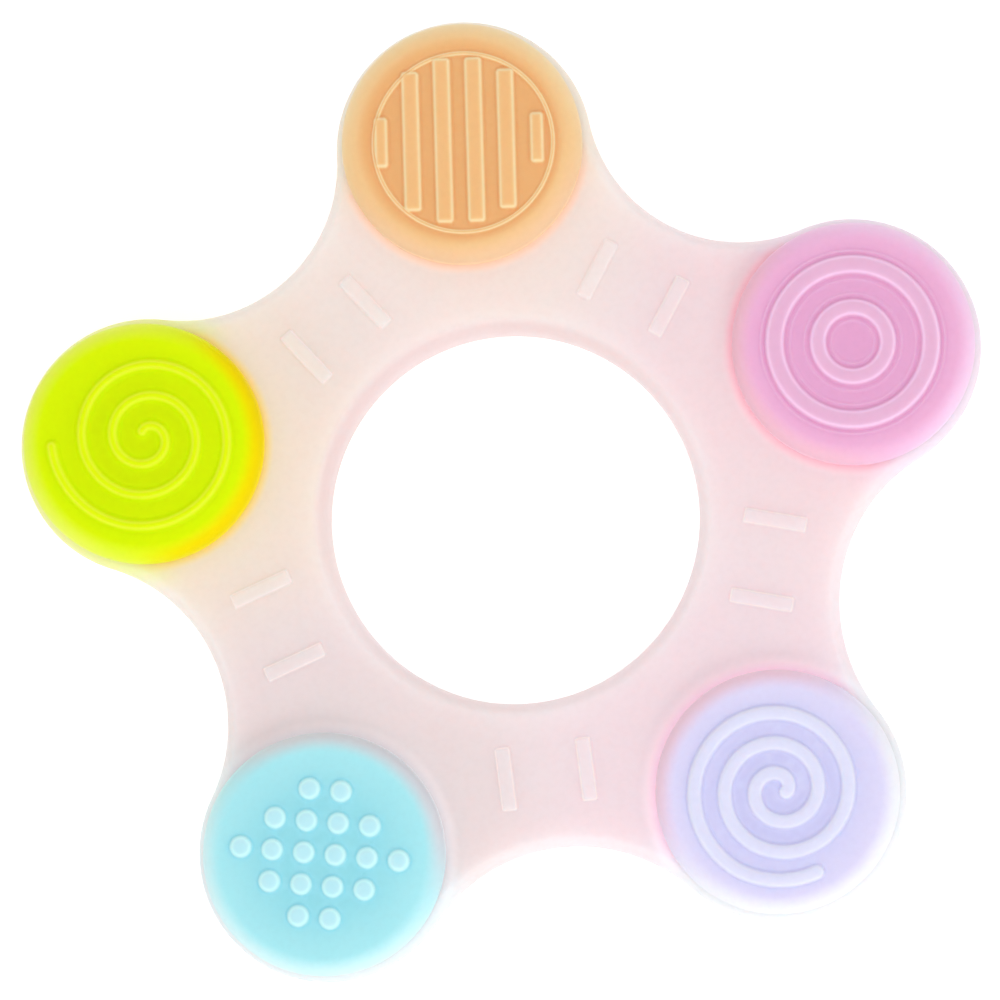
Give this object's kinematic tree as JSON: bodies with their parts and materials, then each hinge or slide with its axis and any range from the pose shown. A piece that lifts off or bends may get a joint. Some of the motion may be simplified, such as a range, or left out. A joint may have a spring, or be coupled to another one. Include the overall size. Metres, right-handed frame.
{
  "type": "teething ring",
  "caption": "Flat lobed silicone teething ring with a round hand hole, and a thick textured disc moulded through each lobe.",
  "frame": {"origin": "centre of the round hand hole, half way through the ring's thickness", "axes": "+Z along the hand hole's axis, out of the face that is seen; +Y from the centre towards the orange disc's lobe; +X to the right seen from +Z"},
  "size_m": [0.1001, 0.097, 0.0172],
  "materials": {
    "clear_silicone": "satin",
    "orange_silicone": "satin",
    "lime_silicone": "satin",
    "aqua_silicone": "satin",
    "lilac_silicone": "satin",
    "pink_silicone": "satin"
  },
  "bodies": {
    "root": {"translucent_ring": "clear_silicone", "orange_bar_disc": "orange_silicone", "lime_spiral_disc": "lime_silicone", "aqua_dot_disc": "aqua_silicone", "lilac_spiral_disc": "lilac_silicone", "pink_circle_disc": "pink_silicone"}
  },
  "joints": []
}
